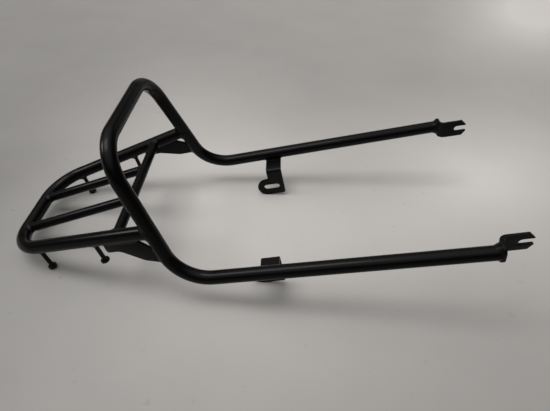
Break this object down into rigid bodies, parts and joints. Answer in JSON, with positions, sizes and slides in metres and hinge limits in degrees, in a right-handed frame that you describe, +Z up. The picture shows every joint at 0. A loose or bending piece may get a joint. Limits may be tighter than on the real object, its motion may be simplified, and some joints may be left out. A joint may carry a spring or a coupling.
{
  "type": "motorcycle luggage rack",
  "caption": "Rear luggage rack with an upright hoop: two long arms end in slotted forks, slotted tabs hang under them, and a railed deck with strap pegs reaches back.",
  "frame": {"origin": "middle of the rack in plan, on the surface that it rests on with its arm tabs and rear pegs", "axes": "+X forward along the bike, +Y to the bike's left, +Z up"},
  "size_m": [0.8016, 0.35, 0.2623],
  "materials": {
    "hoop": "satin",
    "deck": "satin",
    "rods": "satin",
    "gussets": "satin",
    "forks": "satin",
    "tabs": "satin",
    "pegs": "satin",
    "welds": "satin"
  },
  "bodies": {
    "root": {"hoop_tube": "hoop", "deck_side_tube": "deck", "cross_tube": "rods", "rod_left": "rods", "rod_right": "rods", "gusset_left": "gussets", "gusset_right": "gussets", "fork_bracket_left": "forks", "fork_bracket_right": "forks", "arm_tab_left": "tabs", "arm_tab_right": "tabs", "peg_front_left": "pegs", "peg_front_right": "pegs", "peg_rear_left": "pegs", "peg_rear_right": "pegs", "weld_rail_left": "welds", "weld_rail_right": "welds", "weld_cross_left": "welds", "weld_cross_right": "welds", "weld_rod_front_left": "welds", "weld_rod_front_right": "welds", "weld_rod_rear_left": "welds", "weld_rod_rear_right": "welds", "weld_gusset_rail_left": "welds", "weld_gusset_rail_right": "welds", "weld_gusset_leg_left": "welds", "weld_gusset_leg_right": "welds", "weld_fork_left": "welds", "weld_fork_right": "welds", "weld_tab_left": "welds", "weld_tab_right": "welds", "weld_peg_front_left": "welds", "weld_peg_front_right": "welds", "weld_peg_rear_left": "welds", "weld_peg_rear_right": "welds"}
  },
  "joints": []
}
